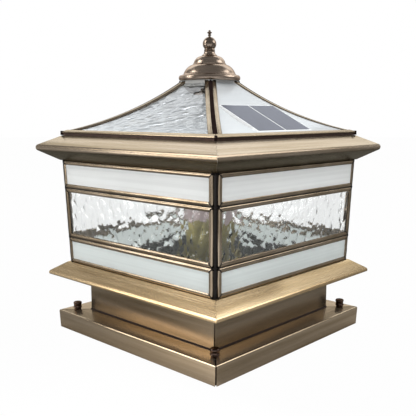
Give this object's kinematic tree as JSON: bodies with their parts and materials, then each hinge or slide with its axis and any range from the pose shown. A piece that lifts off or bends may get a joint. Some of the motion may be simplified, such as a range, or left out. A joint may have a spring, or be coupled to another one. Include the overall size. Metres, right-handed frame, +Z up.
{
  "type": "solar pillar light",
  "caption": "Square antique brass pillar-top lantern with milk and hammered glass panes, a concave glass roof carrying a solar panel, a bell cap and a ball finial.",
  "frame": {"origin": "centre of the base on the plane where it stands on the pillar", "axes": "+Z up, -Y out of the front wall, +X out of the wall under the roof slope with the solar panel"},
  "size_m": [0.3, 0.3, 0.3661],
  "materials": {
    "antique_brass": "brushed and aged",
    "bronze": "spun, satin",
    "dark_bronze": "glossy",
    "dark_patina": "satin",
    "dark_paint": "satin",
    "galvanised_steel": "galvanised",
    "milk_glass": "glossy, streaked",
    "opal_glass": "glossy",
    "hammered_glass": "hammered, clear",
    "silicon": "glossy",
    "white_laminate": "glossy",
    "black_rubber": "satin",
    "black_plastic": "moulded",
    "frosted_plastic": "frosted",
    "circuit_board": "varnished",
    "white_board": "varnished",
    "battery_sleeve": "shrink sleeve"
  },
  "bodies": {
    "lantern": {"back_lower_pane": "milk_glass", "back_middle_pane": "hammered_glass", "back_upper_pane": "milk_glass", "back_wall_frame": "antique_brass", "base_tray": "antique_brass", "battery_cells": "battery_sleeve", "battery_cradle": "black_plastic", "centre_rod": "galvanised_steel", "charge_board": "circuit_board", "column_lid": "antique_brass", "corner_posts": "dark_patina", "cornice": "antique_brass", "crossbar": "galvanised_steel", "floor_plate": "dark_paint", "front_lower_pane": "milk_glass", "front_middle_pane": "hammered_glass", "front_upper_pane": "milk_glass", "front_wall_frame": "antique_brass", "lamp_column": "antique_brass", "lamp_diffuser": "frosted_plastic", "lead_socket": "black_plastic", "led_board": "white_board", "left_lower_pane": "milk_glass", "left_middle_pane": "hammered_glass", "left_upper_pane": "milk_glass", "left_wall_frame": "antique_brass", "mounting_plate": "galvanised_steel", "neck_box": "antique_brass", "right_lower_pane": "milk_glass", "right_middle_pane": "hammered_glass", "right_upper_pane": "milk_glass", "right_wall_frame": "antique_brass", "rivets": "galvanised_steel", "skirt": "antique_brass"},
    "roof": {"roof_rim": "antique_brass", "hip_bars": "dark_patina", "roof_collar": "galvanised_steel", "roof_cap": "bronze", "solar_panel": "white_laminate", "solar_cells": "silicon", "solar_lead": "black_rubber", "front_hip_strips": "antique_brass", "right_hip_strips": "antique_brass", "back_hip_strips": "antique_brass", "left_hip_strips": "antique_brass", "front_roof_pane": "hammered_glass", "right_roof_pane": "opal_glass", "back_roof_pane": "hammered_glass", "left_roof_pane": "hammered_glass"},
    "power_button": {"power_button": "black_plastic"},
    "finial_seat": {"finial_seat": "bronze"},
    "finial": {"finial": "bronze"},
    "front_right_nut": {"front_right_nut": "dark_bronze"},
    "back_right_nut": {"back_right_nut": "dark_bronze"},
    "back_left_nut": {"back_left_nut": "dark_bronze"},
    "front_left_nut": {"front_left_nut": "dark_bronze"},
    "front_right_washer": {"front_right_washer": "dark_bronze"},
    "back_right_washer": {"back_right_washer": "dark_bronze"},
    "back_left_washer": {"back_left_washer": "dark_bronze"},
    "front_left_washer": {"front_left_washer": "dark_bronze"}
  },
  "joints": [
    {"name": "roof_lift", "type": "slide", "parent": "lantern", "child": "roof", "axis": [0, 0, 1], "range_m": [0, 0.16]},
    {"name": "finial_lift", "type": "slide", "parent": "roof", "child": "finial_seat", "axis": [0, 0, 1], "range_m": [0, 0.01]},
    {"name": "finial_turn", "type": "hinge", "parent": "finial_seat", "child": "finial", "pos_m": [0, 0, 0.345], "axis": [0, 0, 1], "range_deg": [0, 3602]},
    {"name": "button_press", "type": "slide", "parent": "lantern", "child": "power_button", "axis": [0, 0, -1], "range_m": [0, 0.0015], "stiffness_N_per_m": 400, "springref_m": -0.002},
    {"name": "front_right_washer_lift", "type": "slide", "parent": "lantern", "child": "front_right_washer", "axis": [0, 0, 1], "range_m": [0, 0.0064]},
    {"name": "front_right_nut_turn", "type": "hinge", "parent": "front_right_washer", "child": "front_right_nut", "pos_m": [0.118, -0.118, 0.027], "axis": [0, 0, 1], "range_deg": [0, 2882]},
    {"name": "back_right_washer_lift", "type": "slide", "parent": "lantern", "child": "back_right_washer", "axis": [0, 0, 1], "range_m": [0, 0.0064]},
    {"name": "back_right_nut_turn", "type": "hinge", "parent": "back_right_washer", "child": "back_right_nut", "pos_m": [0.118, 0.118, 0.027], "axis": [0, 0, 1], "range_deg": [0, 2882]},
    {"name": "back_left_washer_lift", "type": "slide", "parent": "lantern", "child": "back_left_washer", "axis": [0, 0, 1], "range_m": [0, 0.0064]},
    {"name": "back_left_nut_turn", "type": "hinge", "parent": "back_left_washer", "child": "back_left_nut", "pos_m": [-0.118, 0.118, 0.027], "axis": [0, 0, 1], "range_deg": [0, 2882]},
    {"name": "front_left_washer_lift", "type": "slide", "parent": "lantern", "child": "front_left_washer", "axis": [0, 0, 1], "range_m": [0, 0.0064]},
    {"name": "front_left_nut_turn", "type": "hinge", "parent": "front_left_washer", "child": "front_left_nut", "pos_m": [-0.118, -0.118, 0.027], "axis": [0, 0, 1], "range_deg": [0, 2882]}
  ],
  "couplings": [
    {"joint": "finial_turn", "follows": "finial_lift", "rad_per_m": 6283.2},
    {"joint": "front_right_nut_turn", "follows": "front_right_washer_lift", "rad_per_m": 7854},
    {"joint": "back_right_nut_turn", "follows": "back_right_washer_lift", "rad_per_m": 7854},
    {"joint": "back_left_nut_turn", "follows": "back_left_washer_lift", "rad_per_m": 7854},
    {"joint": "front_left_nut_turn", "follows": "front_left_washer_lift", "rad_per_m": 7854}
  ]
}
